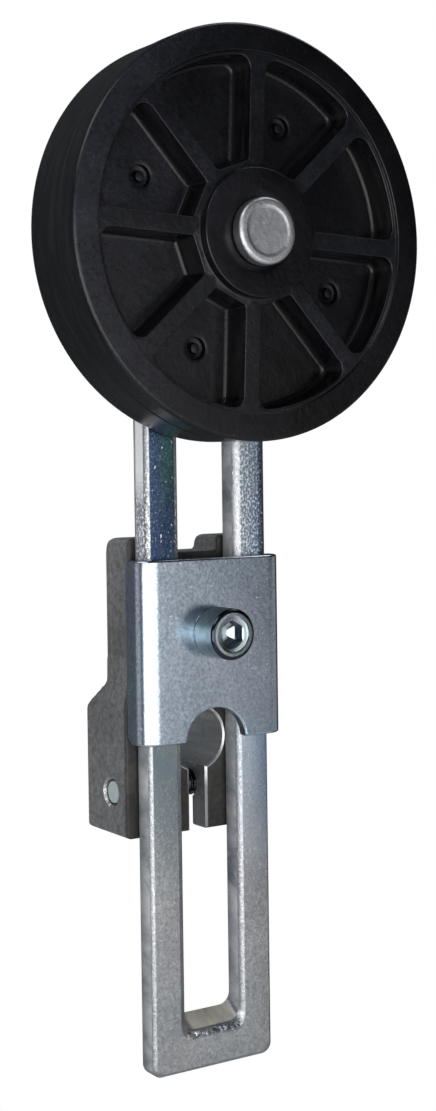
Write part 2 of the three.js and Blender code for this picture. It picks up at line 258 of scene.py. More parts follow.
def revolved(profile, place, steps):
    """A closed surface turned from a (radius, depth) path; a radius of 0 makes a tip."""
    shell = Shell()
    rings = []
    tips = [None, None]
    for k, (radius, depth) in enumerate(profile):
        if radius < 1e-9:
            tips[0 if k == 0 else 1] = depth
            continue
        rings.append(shell.round(place, radius, depth, steps))
    shell.bridge_all(rings)
    if tips[0] is None:
        shell.bridge(rings[-1], rings[0])
    else:
        shell.fan(rings[0], place(0, 0, tips[0]))
        shell.fan(rings[-1], place(0, 0, tips[1]))
    return shell


def along_y(x=0.0, z=0.0):
    """Placement for a piece whose own axis runs along +y."""
    return lambda u, v, depth: (x + u, depth, z + v)


def along_x(y=0.0, z=0.0):
    """Placement for a piece whose own axis runs along +x."""
    return lambda u, v, depth: (depth, y + u, z + v)


def finished(obj, body, node, material, sharp=35.0):
    """Scales a piece to metres, shades it, gives it its body and material, and hides the CAD node it stands
    for.
    """
    obj.data.transform(Matrix.Scale(MM, 4))
    obj.data.polygons.foreach_set("use_smooth", [True] * len(obj.data.polygons))
    obj.data.set_sharp_from_angle(angle=math.radians(sharp))
    weighted = obj.modifiers.new("weighted_normals", "WEIGHTED_NORMAL")
    weighted.keep_sharp = True
    weighted.weight = 60
    obj.data.materials.clear()
    obj.data.materials.append(material)
    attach(obj, body)
    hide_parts(node)
    return obj


# ---- material building

class Nodes:
    """Short names for a material's nodes."""

    def __init__(self, name):
        self.material = bpy.data.materials.new(name)
        self.material.use_nodes = True
        self.tree = self.material.node_tree
        self.shader = self.tree.nodes["Principled BSDF"]
        self.place = self.tree.nodes.new("ShaderNodeTexCoord").outputs["Object"]
        self.axes = self.split(self.place)
        self.x, self.y, self.z = self.axes

    def feed(self, socket, value):
        """Links a socket to another one, or sets it to a number or a colour."""
        if isinstance(value, bpy.types.NodeSocket):
            self.tree.links.new(value, socket)
        elif socket.type == "RGBA":
            socket.default_value = (*value, 1)
        else:
            socket.default_value = value

    def node(self, kind, output, **inputs):
        """One output of a new node whose inputs are fed."""
        made = self.tree.nodes.new("ShaderNode" + kind)
        for key, value in inputs.items():
            self.feed(made.inputs[key.replace("_", " ")], value)
        return made.outputs[output]

    def split(self, vector):
        made = self.tree.nodes.new("ShaderNodeSeparateXYZ")
        self.feed(made.inputs[0], vector)
        return made.outputs

    def stretched(self, scale):
        """Object coordinates scaled along x, y and z."""
        return self.node("Mapping", "Vector", Vector=self.place, Scale=scale)

    def noise(self, scale, detail=3.0, roughness=0.55, distortion=0.0, place=None):
        return self.node("TexNoise", "Fac", Vector=place or self.place, Scale=scale, Detail=detail,
                         Roughness=roughness, Distortion=distortion)

    def cells(self, scale):
        return self.node("TexVoronoi", "Distance", Vector=self.place, Scale=scale)

    def ramp(self, value, stops):
        """A colour ramp; stops are (position, (r, g, b)) or (position, grey)."""
        made = self.tree.nodes.new("ShaderNodeValToRGB")
        marks = made.color_ramp.elements
        while len(marks) < len(stops):
            marks.new(0.5)
        for mark, (position, colour) in zip(marks, stops):
            rgb = colour if isinstance(colour, tuple) else (colour,) * 3
            mark.position = position
            mark.color = (*rgb, 1)
        self.feed(made.inputs["Fac"], value)
        return made.outputs["Color"]

    def between(self, value, low_in, high_in, low_out, high_out):
        return self.node("MapRange", "Result", Value=value, From_Min=low_in, From_Max=high_in,
                         To_Min=low_out, To_Max=high_out)

    def rising(self, value, low, high, top=1.0):
        """0 up to low, and top from high on."""
        return self.between(value, low, high, 0.0, top)

    def falling(self, value, low, high, top=1.0):
        """top up to low, and 0 from high on."""
        return self.between(value, low, high, top, 0.0)

    def maths(self, operation, a, b=0.0):
        made = self.tree.nodes.new("ShaderNodeMath")
        made.operation = operation
        self.feed(made.inputs[0], a)
        self.feed(made.inputs[1], b)
        return made.outputs["Value"]

    def times(self, a, b):
        return self.maths("MULTIPLY", a, b)

    def plus(self, a, b):
        return self.maths("ADD", a, b)

    def minus(self, a, b):
        return self.maths("SUBTRACT", a, b)

    def larger(self, a, b):
        return self.maths("MAXIMUM", a, b)

    def unsigned(self, value):
        return self.maths("ABSOLUTE", value)

    def from_line(self, centre):
        """Distance in metres from a line along one axis; centre gives its place on the other two."""
        squares = [self.maths("POWER", self.minus(self.axes[axis], at * MM), 2.0)
                   for axis, at in centre.items()]
        return self.maths("SQRT", self.plus(*squares))

    def mixed(self, factor, a, b, blend="MIX"):
        made = self.tree.nodes.new("ShaderNodeMix")
        made.data_type = "RGBA"
        made.blend_type = blend
        for socket, value in ((0, factor), (6, a), (7, b)):
            self.feed(made.inputs[socket], value)
        return made.outputs[2]

    def facing(self, axis):
        """The surface normal's share along one of the part's axes, 0 for x, 1 for y, 2 for z."""
        geometry = self.tree.nodes.new("ShaderNodeNewGeometry")
        return self.split(geometry.outputs["Normal"])[axis]

    def bump(self, value, distance, strength=1.0, under=None):
        below = {} if under is None else {"Normal": under}
        return self.node("Bump", "Normal", Height=value, Distance=distance, Strength=strength, **below)

    def set(self, **values):
        """Feeds the shader's own sockets and gives the material."""
        for key, value in values.items():
            self.feed(self.shader.inputs[key.replace("_", " ")], value)
        return self.material


def rubber():
    """Moulded black rubber: satin, slightly blue, with a film of dust on its faces that is partly painted
    light, brighter to the left.
    """
    n = Nodes("black_rubber")
    clouds = n.noise(85, detail=5, roughness=0.65)
    grain = n.noise(1500, detail=5, roughness=0.8)
    specks = n.noise(2600, detail=2)
    base = n.ramp(clouds, [(0.32, (0.0010, 0.0010, 0.0014)), (0.70, (0.0034, 0.0035, 0.0050))])

    # A film of dust on the front, partly painted light: thickest at the left so that side reads lit,
    # thinner low down as painted shade, and even on the spokes.
    front = n.between(n.facing(1), -0.9, -0.6, 1.0, 0.03)
    from_spokes = n.minus(n.y, (ROLLER_LOW[1] + FRONT_BOSS_RISE) * MM)
    on_spokes = n.falling(n.unsigned(from_spokes), 0.00015, 0.0002)
    low_down = n.between(n.z, (AXLE_Z - 22) * MM, (AXLE_Z - 12) * MM, 0.45, 1.0)
    # Painted light: the dust film fades from left to right and towards the bottom.
    dust_and_painted_light = n.times(n.between(n.x, -0.026, 0.002, 1.0, 0.03), low_down)
    dust_and_painted_light = n.mixed(on_spokes, dust_and_painted_light, (0.36, 0.36, 0.36))
    patchy = n.times(n.between(grain, 0.35, 0.7, 0.25, 1.0),
                     n.between(clouds, 0.35, 0.65, 0.45, 1.25))
    dust_and_painted_light_colour = n.mixed(n.times(patchy, n.times(dust_and_painted_light, front)), base, (0.031, 0.0322, 0.0435))

    # Scuffs, specks and the mould's seam.
    scuffs = n.noise(260, detail=4, roughness=0.7, place=n.stretched((0.5, 3.0, 0.5)))
    on_tread = n.falling(n.unsigned(n.facing(1)), 0.05, 0.3)
    worn = n.times(n.ramp(scuffs, [(0.46, 0.0), (0.68, 0.8)]), on_tread)
    dust_and_painted_light_colour = n.mixed(worn, dust_and_painted_light_colour, (0.014, 0.0140, 0.0150))
    colour = n.mixed(n.ramp(specks, [(0.70, 0.0), (0.78, 0.5)]), dust_and_painted_light_colour, (0.06, 0.06, 0.065))
    rough = n.plus(n.between(clouds, 0.3, 0.7, 0.18, 0.29), n.between(grain, 0.3, 0.7, -0.04, 0.04))
    from_seam = n.unsigned(n.minus(n.y, TREAD_SEAM * MM))
    wobble = n.between(n.noise(300), 0.3, 0.7, -0.00015, 0.00015)
    seam = n.falling(n.plus(from_seam, wobble), 0.00015, 0.0005)
    seam = n.times(seam, n.falling(n.unsigned(n.facing(1)), 0.3, 0.7))
    colour = n.mixed(seam, colour, (0.0006, 0.0006, 0.0007))
    rough = n.plus(rough, n.times(seam, 0.5))
    normal = n.bump(grain, 0.00012, 0.30, under=n.bump(clouds, 0.0006, 0.2))
    return n.set(Base_Color=colour, Roughness=rough, Normal=normal, Specular_IOR_Level=0.36)


def zinc_skin(n, low, high, tint, rough, grain_depth):
    """Colour, roughness and normal of blue-passivated zinc: mottled, with a fine grain."""
    clouds = n.noise(110, detail=4, roughness=0.6)
    hues = n.noise(45, detail=3, roughness=0.5, distortion=0.6)
    grain = n.noise(2500, detail=4, roughness=0.85)
    base = n.ramp(clouds, [(0.3, low), (0.7, high)])
    tinted = n.mixed(n.ramp(hues, [(0.42, 0.0), (0.68, 0.75)]), base, tint)
    colour = n.mixed(1.0, tinted, n.ramp(grain, [(0.37, 0.60), (0.63, 1.08)]), "MULTIPLY")
    roughness = n.plus(n.between(grain, 0.3, 0.7, rough + 0.06, rough - 0.06),
                       n.between(clouds, 0.3, 0.7, -0.02, 0.03))
    normal = n.bump(grain, grain_depth, 0.5, under=n.bump(hues, 0.0005, 0.10))
    return colour, roughness, normal


def cover_zinc():
    """The cover plate: bright, smooth and bluish, with a few white flecks."""
    n = Nodes("cover_zinc")
    colour, roughness, normal = zinc_skin(n, (0.49, 0.56, 0.66), (0.65, 0.73, 0.84),
                                          (0.48, 0.60, 0.70), 0.18, 0.00003)
    violet = n.ramp(n.noise(60, detail=2, distortion=0.4), [(0.5, 0.0), (0.7, 0.6)])
    colour = n.mixed(violet, colour, (0.49, 0.50, 0.61))
    flecks = n.ramp(n.noise(2300, detail=1, roughness=0.4), [(0.762, 0.0), (0.785, 0.9)])
    return n.set(Base_Color=n.mixed(flecks, colour, (0.95, 0.97, 1.0)), Metallic=1.0,
                 Roughness=roughness, Normal=normal)


def lever_zinc():
    """The lever: neutral grey at its foot, bluer above, with frosted sheared edges and a painted white
    highlight on the left bar's side above the cover plate.
    """
    n = Nodes("lever_zinc")
    x, y, z = n.axes
    front, back, foot = LEVER_LOW[1] * MM, LEVER_HIGH[1] * MM, LEVER_LOW[2] * MM
    under_cover, over_cover = COVER_LOW[2] * MM, COVER_HIGH[2] * MM
    colour, roughness, normal = zinc_skin(n, (0.42, 0.425, 0.445), (0.535, 0.54, 0.555),
                                          (0.39, 0.425, 0.445), 0.30, 0.00009)

    # Below the cover plate: greenish on the left bar, blue towards the outside of the right one.
    patches = n.noise(150, detail=3, roughness=0.6, place=n.stretched((1.0, 1.0, 0.45)))
    right_bar = n.rising(x, -0.001, 0.001)
    outward = n.mixed(n.rising(x, 0.0060, 0.0084), (0.46, 0.53, 0.63), (0.20, 0.28, 0.42))
    bluish = n.mixed(right_bar, (0.175, 0.225, 0.245), outward)
    flat_front = n.falling(n.facing(1), -0.995, -0.93)
    lift = n.times(n.rising(z, under_cover - 0.020, under_cover - 0.003, 0.95), flat_front)
    colour = n.mixed(n.times(lift, n.between(patches, 0.35, 0.6, 0.6, 1.0)), colour, bluish)

    # Above the cover plate: deep blue and green on the left bar, and coarse crystals.
    above = n.rising(z, over_cover - 0.004, over_cover)
    top_front = n.times(above, flat_front)
    navy = n.ramp(patches, [(0.36, (0.035, 0.050, 0.115)), (0.60, (0.075, 0.115, 0.20))])
    green = n.ramp(patches, [(0.36, (0.035, 0.075, 0.090)), (0.60, (0.070, 0.145, 0.150))])
    toward_green = n.times(n.rising(x, -0.0078, -0.0058),
                           n.between(z, over_cover + 0.004, over_cover + 0.010, 0.15, 1.0))
    deep = n.mixed(toward_green, navy, green)
    colour = n.mixed(n.times(top_front, n.between(x, -0.001, 0.001, 1.0, 0.08)), colour, deep)
    # Painted shade: the right bar's rounded right edge above the cover plate is painted dark, standing in
    # for the dark surroundings it reflects.
    painted_dark_right_edge = n.times(above, n.rising(x, 0.0076, 0.0082, 0.85))
    colour = n.mixed(painted_dark_right_edge, colour, (0.045, 0.060, 0.075))
    crystals = n.noise(3600, detail=2, roughness=0.6, place=n.stretched((1.0, 1.0, 0.75)))
    crystals = n.ramp(crystals, [(0.37, 0.50), (0.52, 1.0), (0.62, 2.6)])
    left_edge = n.times(n.minus(above, top_front), n.falling(x, -0.001, 0.001))
    left_edge = n.times(left_edge, n.falling(z, over_cover + 0.005, over_cover + 0.012))
    frosting = n.times(top_front, n.between(right_bar, 0.0, 1.0, 0.45, 1.0))
    frosted = n.mixed(1.0, colour, crystals, "MULTIPLY")
    colour = n.mixed(n.larger(frosting, left_edge), colour, frosted)

    # White flecks, most of them above the cover plate.
    flecks = n.noise(2700, detail=1, roughness=0.4, place=n.stretched((1.0, 1.0, 0.6)))
    flecks = n.times(n.ramp(flecks, [(0.685, 0.0), (0.725, 0.95)]),
                     n.between(z, under_cover - 0.002, over_cover, 0.06, 1.0))
    colour = n.mixed(flecks, colour, (0.95, 0.97, 1.0))

    # The sheared faces look along x, painted darker towards their back as painted shade; the slot's sloping
    # foot looks up.
    side = n.rising(n.unsigned(n.facing(0)), 0.86, 0.98)
    torn = n.noise(420, detail=4, roughness=0.65, place=n.stretched((1.0, 0.3, 0.55)))
    sheared = n.ramp(torn, [(0.36, (0.30, 0.33, 0.36)), (0.50, (0.62, 0.65, 0.69)),
                            (0.64, (0.92, 0.94, 0.96))])
    # Painted shade: the sheared faces darken towards their back.
    painted_shade_to_back = n.between(y, front + 0.0008, back, 1.0, 0.42)
    sheared_with_painted_light = n.mixed(1.0, sheared, painted_shade_to_back, "MULTIPLY")
    # Painted highlight: the left bar's side above the cover plate is painted white and made less metallic,
    # speckled lower down.
    painted_side_highlight = n.mixed(n.rising(z, over_cover + 0.006, over_cover + 0.011),
                      n.mixed(1.0, (0.36, 0.38, 0.42), crystals, "MULTIPLY"), (0.97, 0.98, 1.0))
    painted_highlight_mask = n.times(n.times(above, n.falling(x, -0.0082, -0.0080)),
                   n.falling(y, back - 0.0009, back - 0.0005))
    sheared_with_painted_light = n.mixed(painted_highlight_mask, sheared_with_painted_light, painted_side_highlight)
    colour = n.mixed(n.times(side, 0.9), colour, sheared_with_painted_light)
    upward = n.rising(n.facing(2), 0.5, 0.8)
    oiled = n.ramp(torn, [(0.35, (0.30, 0.285, 0.25)), (0.65, (0.56, 0.53, 0.47))])
    colour = n.mixed(upward, colour, oiled)
    dull = n.larger(side, upward)
    metallic = n.minus(1.0, n.times(dull, n.between(painted_highlight_mask, 0.0, 1.0, 0.45, 1.0)))
    roughness = n.plus(roughness, n.times(dull, 0.14))
    normal = n.bump(n.times(torn, side), 0.0004, 0.6, under=normal)

    # A crumbled burr along the front of the slot's foot.
    burr_low, burr_high = foot + 0.0040, foot + 0.0048
    near = n.times(n.falling(n.unsigned(x), 0.0032, 0.0040),
                   n.times(n.rising(z, burr_low, burr_low + 0.0003),
                           n.falling(z, burr_high, burr_high + 0.0002)))
    near = n.times(near, n.falling(y, front + 0.0010, front + 0.0014))
    crumbs = n.noise(2100, detail=2, roughness=0.5)
    crumbled = n.ramp(crumbs, [(0.42, (0.12, 0.14, 0.18)), (0.56, (0.34, 0.38, 0.44)), (0.62, 1.0)])
    colour = n.mixed(n.times(near, 0.85), colour, crumbled)
    normal = n.bump(n.times(crumbs, near), 0.0005, 0.8, under=normal)
    return n.set(Base_Color=colour, Metallic=metallic, Roughness=roughness,
                 Normal=n.bump(flecks, 0.00006, 0.6, under=normal))


def bright_zinc(name, centre, shaded_half=None):
    """Bright zinc on the screws: mirror-like in front, satin on the sides, with painted shade in the socket
    and a painted dark reflection on the head's outer rounding.

    centre gives the screw's middle on the two axes across it, 0 for x, 1 for y, 2 for z.
    Within the given half width in metres to either side of x = 0 the thread is painted dark, as painted
    shade inside the hub's slit.
    """
    n = Nodes(name)
    clouds = n.noise(260, detail=3)
    grain = n.noise(2300, detail=4, roughness=0.8)
    colour = n.ramp(clouds, [(0.35, (0.36, 0.42, 0.46)), (0.65, (0.46, 0.52, 0.56))])
    side = n.falling(n.unsigned(n.facing(1)), 0.15, 0.45)
    stains = n.noise(420, detail=4, roughness=0.7)
    stained = n.ramp(stains, [(0.38, (0.17, 0.24, 0.27)), (0.62, (0.32, 0.40, 0.43))])
    colour = n.mixed(side, colour, stained)
    from_axis = n.from_line(centre)
    # Painted shade: the socket's walls are painted dark.
    socket_shade_mask = n.times(side, n.falling(from_axis, 0.0021, 0.0023))
    colour = n.mixed(n.times(socket_shade_mask, 0.75), colour, (0.06, 0.09, 0.13))
    # Painted reflection: the head's outer rounding is painted nearly black, as the dark surroundings it
    # reflects.
    painted_dark_rim = n.times(n.rising(from_axis, 0.00268, 0.00274, 0.93),
                        n.falling(n.facing(1), -0.25, -0.15))
    colour = n.mixed(painted_dark_rim, colour, (0.016, 0.020, 0.030))
    rough = n.plus(n.between(grain, 0.3, 0.7, 0.04, 0.09), n.times(side, 0.36))
    metallic = 1.0
    if shaded_half:
        # Painted shade: the thread inside the hub is painted dark.
        painted_thread_shade = n.falling(n.unsigned(n.x), shaded_half, shaded_half + 0.0005, 0.9)
        colour = n.mixed(painted_thread_shade, colour, (0.05, 0.05, 0.05))
        end = CLAMP_SCREW_LOW[0]
        tip = n.falling(n.x, (end + 0.3) * MM, (end + 0.6) * MM)
        colour = n.mixed(n.times(tip, 0.9), colour, (0.66, 0.76, 0.76))
        metallic = n.minus(1.0, n.times(tip, 0.6))
    normal = n.bump(grain, 0.00005, 0.3)
    return n.set(Base_Color=colour, Metallic=metallic, Roughness=rough, Normal=normal)


def pin_steel():
    """Turned steel with a satin, finely pitted face."""
    n = Nodes("satin_pin_steel")
    pits = n.cells(1500)
    grain = n.noise(1700, detail=5, roughness=0.85)
    clouds = n.noise(300, detail=3)
    base = n.ramp(clouds, [(0.3, (0.58, 0.58, 0.61)), (0.7, (0.76, 0.76, 0.79))])
    mottled = n.mixed(1.0, base, n.ramp(grain, [(0.34, 0.68), (0.66, 1.0)]), "MULTIPLY")
    specks = n.ramp(n.noise(2000, detail=2), [(0.68, 0.0), (0.74, 0.9)])
    colour = n.mixed(specks, mottled, (0.9, 0.9, 0.92))
    rough = n.between(grain, 0.3, 0.7, 0.42, 0.30)
    normal = n.bump(grain, 0.00012, 0.4, under=n.bump(pits, 0.00005, 0.2))
    return n.set(Base_Color=colour, Metallic=1.0, Roughness=rough, Normal=normal)


def die_casting():
    """Grey zinc alloy as cast: matt and mottled, darkened in front by painted shade, bright where machined.
    """
    n = Nodes("grey_casting")
    clouds = n.noise(70, detail=5, roughness=0.62, distortion=0.3)
    grain = n.noise(1300, detail=5, roughness=0.82)
    flow = n.noise(28, detail=3, place=n.stretched((3.0, 3.0, 0.8)))
    base = n.ramp(clouds, [(0.28, (0.43, 0.43, 0.435)), (0.72, (0.68, 0.68, 0.685))])
    warm = n.mixed(n.ramp(flow, [(0.45, 0.0), (0.7, 0.5)]), base, (0.50, 0.49, 0.465))
    mottled = n.mixed(1.0, warm, n.ramp(grain, [(0.36, 0.42), (0.64, 1.0)]), "MULTIPLY")
    specks = n.ramp(n.noise(2200, detail=2), [(0.70, 0.0), (0.78, 0.5)])
    skin = n.mixed(specks, mottled, (0.7, 0.7, 0.72))
    x, y, z = n.axes
    # Painted shade: a darker band on the hub from the upright's foot up to about 15 mm.
    painted_shade_band = n.times(n.rising(z, (UPRIGHT_FOOT - 0.05) * MM, (UPRIGHT_FOOT + 0.35) * MM),
                    n.falling(z, 0.0146, 0.0152))
    skin = n.mixed(n.times(painted_shade_band, 0.45), skin, (0.22, 0.22, 0.22))

    front = HUB_LOW[1] * MM
    # Painted shade: the hub's front face, behind the lever, is painted dark.
    front_shade_mask = n.falling(y, front + 0.0001, front + 0.0007, 0.93)
    front_shade_colour = n.ramp(clouds, [(0.35, (0.018, 0.0175, 0.016)), (0.65, (0.055, 0.053, 0.049))])
    front_shaded = n.mixed(front_shade_mask, skin, front_shade_colour)

    # Bare metal in the bore, the slit and the clamp screw's hole.
    in_bore = n.falling(n.from_line({0: 0.0, 2: 0.0}), (BORE_RADIUS + 0.23) * MM, (BORE_RADIUS + 0.29) * MM)
    in_slit = n.falling(n.unsigned(x), (SLIT_MOUTH + 0.02) * MM, (SLIT_MOUTH + 0.07) * MM)
    in_slit = n.times(in_slit, n.times(n.between(z, -0.007, -0.004, 0.25, 1.0),
                                       n.falling(z, -0.001, 0.0)))
    machined = n.larger(in_bore, in_slit)
    from_screw = n.from_line({1: CLAMP_Y, 2: CLAMP_Z})
    left_face = n.falling(x, (HUB_LOW[0] + 0.4) * MM, (HUB_LOW[0] + 0.5) * MM)
    drilled = n.times(left_face, n.falling(from_screw, 0.0020, 0.0023))
    machined = n.larger(machined, n.times(drilled, n.between(grain, 0.45, 0.55, 0.2, 1.0)))
    cut_metal = n.ramp(n.noise(900, place=n.stretched((1.0, 0.15, 1.0))), [(0.3, 0.52), (0.7, 0.76)])
    colour = n.mixed(machined, front_shaded, cut_metal)
    cast_rough = n.between(grain, 0.3, 0.7, 0.62, 0.46)
    rough = n.minus(cast_rough, n.times(machined, 0.22))

    ridge = n.falling(n.unsigned(n.minus(y, PARTING_Y * MM)), 0.0, 0.00022)
    normal = n.bump(grain, 0.00016, 0.45, under=n.bump(clouds, 0.0006, 0.2))
    return n.set(Base_Color=colour, Metallic=0.92, Roughness=rough,
                 Normal=n.bump(ridge, 0.0001, 0.5, under=normal))


def sintered_bronze():
    """Oil-filled sintered bronze: matt brown metal with open pores."""
    n = Nodes("sintered_bronze")
    pores = n.cells(3600)
    clouds = n.noise(400, detail=3)
    base = n.ramp(clouds, [(0.3, (0.26, 0.17, 0.085)), (0.7, (0.42, 0.29, 0.15))])
    colour = n.mixed(n.ramp(pores, [(0.10, 0.7), (0.28, 0.0)]), base, (0.06, 0.045, 0.03))
    return n.set(Base_Color=colour, Metallic=1.0, Roughness=n.between(clouds, 0.3, 0.7, 0.4, 0.55),
                 Normal=n.bump(pores, 0.00005, 0.5))


MATERIALS = {
    "rubber": rubber(),
    "lever": lever_zinc(),
    "cover": cover_zinc(),
    "screw": bright_zinc("bright_zinc", {0: 0.0, 2: COVER_SCREW_Z}),
    "clamp_screw": bright_zinc("shade_darkened_zinc", {1: CLAMP_Y, 2: CLAMP_Z}, shaded_half=0.006),
    "pin": pin_steel(),
    "casting": die_casting(),
    "bronze": sintered_bronze(),
}


# ---- lever

def even(width, depth):
    """A rounding that is the same size all round, for plate_rings."""
    return lambda x, z: (width, depth)


def plate_rings(shell, outline_at, front, back, front_edge, back_edge, steps=6, bevel=0.0):
    """Rings of a plate's wall from front to back, with both edges rounded.

    outline_at(y, inset) gives the outline at depth y, drawn in by inset from the wall.
    front_edge(x, z) gives the front rounding's width across the face and depth down the wall;
    bevel, from 0 to 1, turns it from a round into a straight bevel.
    """
    rings = []
    for k, (inset, depth) in enumerate(quarter(1.0, steps)):
        inset += bevel * (1 - k / steps - inset)
        depth += bevel * (k / steps - depth)
        flush, drawn_in = outline_at(front + depth, 0), outline_at(front + depth, 1.0)
        ring = []
        for (x0, z0), (x1, z1) in zip(flush, drawn_in):
            width, down = front_edge(x0, z0)
            share = inset * width
            ring.append((x0 + (x1 - x0) * share, front + depth * down, z0 + (z1 - z0) * share))
        rings.append(shell.ring(ring))
    for inset, depth in reversed(quarter(back_edge, steps)):
        y = back - depth
        rings.append(shell.ring([(x, y, z) for x, z in outline_at(y, inset)]))
    shell.bridge_all(rings)
    return rings[0], rings[-1]


def front_plane(point):
    return point[0], point[2]


def make_lever():
    front, back = LEVER_LOW[1], LEVER_HIGH[1]
    half = LEVER_HIGH[0]
    bottom = LEVER_LOW[2]
    corner, back_edge = 1.4, 0.45
    slot_half, slot_top, slot_corner = 4.15, 50.75, 1.0
    slot_front, slot_back = bottom + 4.6, bottom + 6.8
    hole = 2.05
    hidden_low, hidden_high = COVER_LOW[2] + 2, COVER_HIGH[2] - 2
    outline = arc((-half + corner, bottom + corner), corner, math.pi, 1.5 * math.pi, 8)
    outline += arc((half - corner, bottom + corner), corner, -math.pi / 2, 0, 8)
    outline += [(half, hidden_low), (half, hidden_high)]
    outline += arc((0, AXLE_Z), half, 0, math.pi, 48)
    outline += [(-half, hidden_high), (-half, hidden_low)]

    def edge(x, z, reach, left_low, left_high, right_low, right_high):
        """The front rounding (width, depth) on either side, below and above the cover plate."""
        up = min(max((z - hidden_low) / (hidden_high - hidden_low), 0), 1)
        left = min(max(0.5 - 0.5 * x / reach, 0), 1)
        low, high = ([left * a + (1 - left) * b for a, b in zip(*pair)]
                     for pair in ((left_low, right_low), (left_high, right_high)))
        return [a + (b - a) * up for a, b in zip(low, high)]

    def outer_edge(x, z):
        return edge(x, z, half, (0.55, 0.55), (0.65, 0.80), (0.55, 0.55), (0.60, 0.55))

    def slot_edge(x, z):
        return edge(x, z, slot_half, (0.85, 0.50), (0.85, 0.50), (0.70, 0.90), (0.95, 1.00))

    def outer(_, inset):
        return grown(outline, -inset)

    def slot(y, inset):
        share = (y - front) / (back - front)
        low = slot_front + share * (slot_back - slot_front)
        loop = filleted([(-slot_half, low, 1.5), (slot_half, low, 1.5),
                         (slot_half, hidden_low, 0), (slot_half, hidden_high, 0),
                         (slot_half, slot_top, slot_corner), (-slot_half, slot_top, slot_corner),
                         (-slot_half, hidden_high, 0), (-slot_half, hidden_low, 0)])
        return grown(loop, inset)

    def axle_hole(_, inset):
        return grown(circle(hole, 48, (0, AXLE_Z)), inset)

    shell = Shell()
    walls = [plate_rings(shell, outer, front, back, outer_edge, back_edge, bevel=0.6),
             plate_rings(shell, slot, front, back, slot_edge, 0.3, bevel=0.6),
             plate_rings(shell, axle_hole, front, back, even(0.15, 0.15), 0.15, 2)]
    for side in (0, 1):
        shell.fill(walls[0][side], [walls[1][side], walls[2][side]], front_plane)
    return finished(shell.made("lever_bar"), "lever", "slotted_lever", MATERIALS["lever"])


# ---- cover plate

def make_cover():
    sheet = 1.5
    half = COVER_HIGH[0]
    top, bottom = COVER_HIGH[2], COVER_LOW[2]
    inner_face = COVER_LOW[1] + sheet
    flange_back = COVER_HIGH[1]
    bend_inside = 0.9
    flat_half = half - sheet - bend_inside
    middle_radius = bend_inside + sheet / 2
    bend_length = middle_radius * math.pi / 2
    fold_centre = inner_face + bend_inside
    reach = flat_half + bend_length + flange_back - fold_centre
    corner, notch, notch_corner, edge = 1.3, 4.4, 0.35, 0.3
    start = math.asin((bottom + notch_corner) / (notch + notch_corner))
    mouth = (notch + notch_corner) * math.cos(start)
    right = arc((mouth, bottom + notch_corner), notch_corner, -math.pi / 2, -math.pi + start, 5)
    notch_arc = arc((0, 0), notch, start, math.pi - start, 40)[1:-1]
    left = [(-x, z) for x, z in right]
    far, high, low = reach - corner, top - corner, bottom + corner
    outline = []
    for k, centre in enumerate(((far, low), (far, high), (-far, high), (-far, low)), -1):
        outline += arc(centre, corner, k * math.pi / 2, (k + 1) * math.pi / 2, 8)
    outline += left + notch_arc[::-1] + right[::-1]
    screw_hole = circle(2.2, 48, (0, COVER_SCREW_Z))

    def folded(co):
        """Where a point of the flat sheet goes once both sides are folded back by a right angle."""
        along, depth, z = abs(co.x), -co.y, co.z
        side = 1 if co.x >= 0 else -1
        radius = bend_inside + depth
        angle = (along - flat_half) / middle_radius
        if angle <= 0:
            return Vector((co.x, inner_face - depth, z))
        if angle < math.pi / 2:
            x = flat_half + radius * math.sin(angle)
            return Vector((side * x, fold_centre - radius * math.cos(angle), z))
        straight = along - flat_half - bend_length
        return Vector((side * (flat_half + radius), fold_centre + straight, z))

    # Flat sheet: x is the length along the sheet's middle, y its depth from 0 (inside) to -sheet.
    shell = Shell()

    def rim(_, inset):
        return grown(outline, -inset)

    def hole(_, inset):
        return grown(screw_hole, inset)

    walls = [plate_rings(shell, rim, -sheet, 0, even(edge, edge), edge, 4),
             plate_rings(shell, hole, -sheet, 0, even(0.1, 0.1), 0.1, 2)]
    for side in (0, 1):
        shell.fill(walls[0][side], [walls[1][side]], front_plane)
    data = shell.mesh("cover_sheet")
    work = bmesh.new()
    work.from_mesh(data)
    folds = 12
    for sign in (-1, 1):
        for k in range(folds + 1):
            at = sign * (flat_half + bend_length * k / folds)
            geometry = work.verts[:] + work.edges[:] + work.faces[:]
            bmesh.ops.bisect_plane(work, geom=geometry, plane_co=(at, 0, 0), plane_no=(1, 0, 0))
    for vertex in work.verts:
        vertex.co = folded(vertex.co)
    work.to_mesh(data)
    work.free()
    cover = new_object("cover_sheet", data)
    return finished(cover, "cover", "cover_plate", MATERIALS["cover"])


# ---- screws

def thread_rings(shell, place, start, end, core, crest, pitch, steps, per_turn=12):
    """Rings of a thread along the piece's axis, fading out at both ends."""
    rings = []
    count = max(2, int(abs(end - start) / pitch * per_turn))
    for depth in np.linspace(start, end, count + 1):
        fade = min(1.0, abs(depth - start) / pitch, abs(end - depth) / pitch)
        ring = []
        for k in range(steps):
            angle = TURN * k / steps
            phase = (depth / pitch + k / steps) % 1.0
            rise = np.clip(1.25 - 2.5 * abs(2 * phase - 1), 0, 1)
            radius = core + (crest - core) * rise * fade
            ring.append(place(radius * math.cos(angle), radius * math.sin(angle), depth))
        rings.append(shell.ring(ring))
    return rings


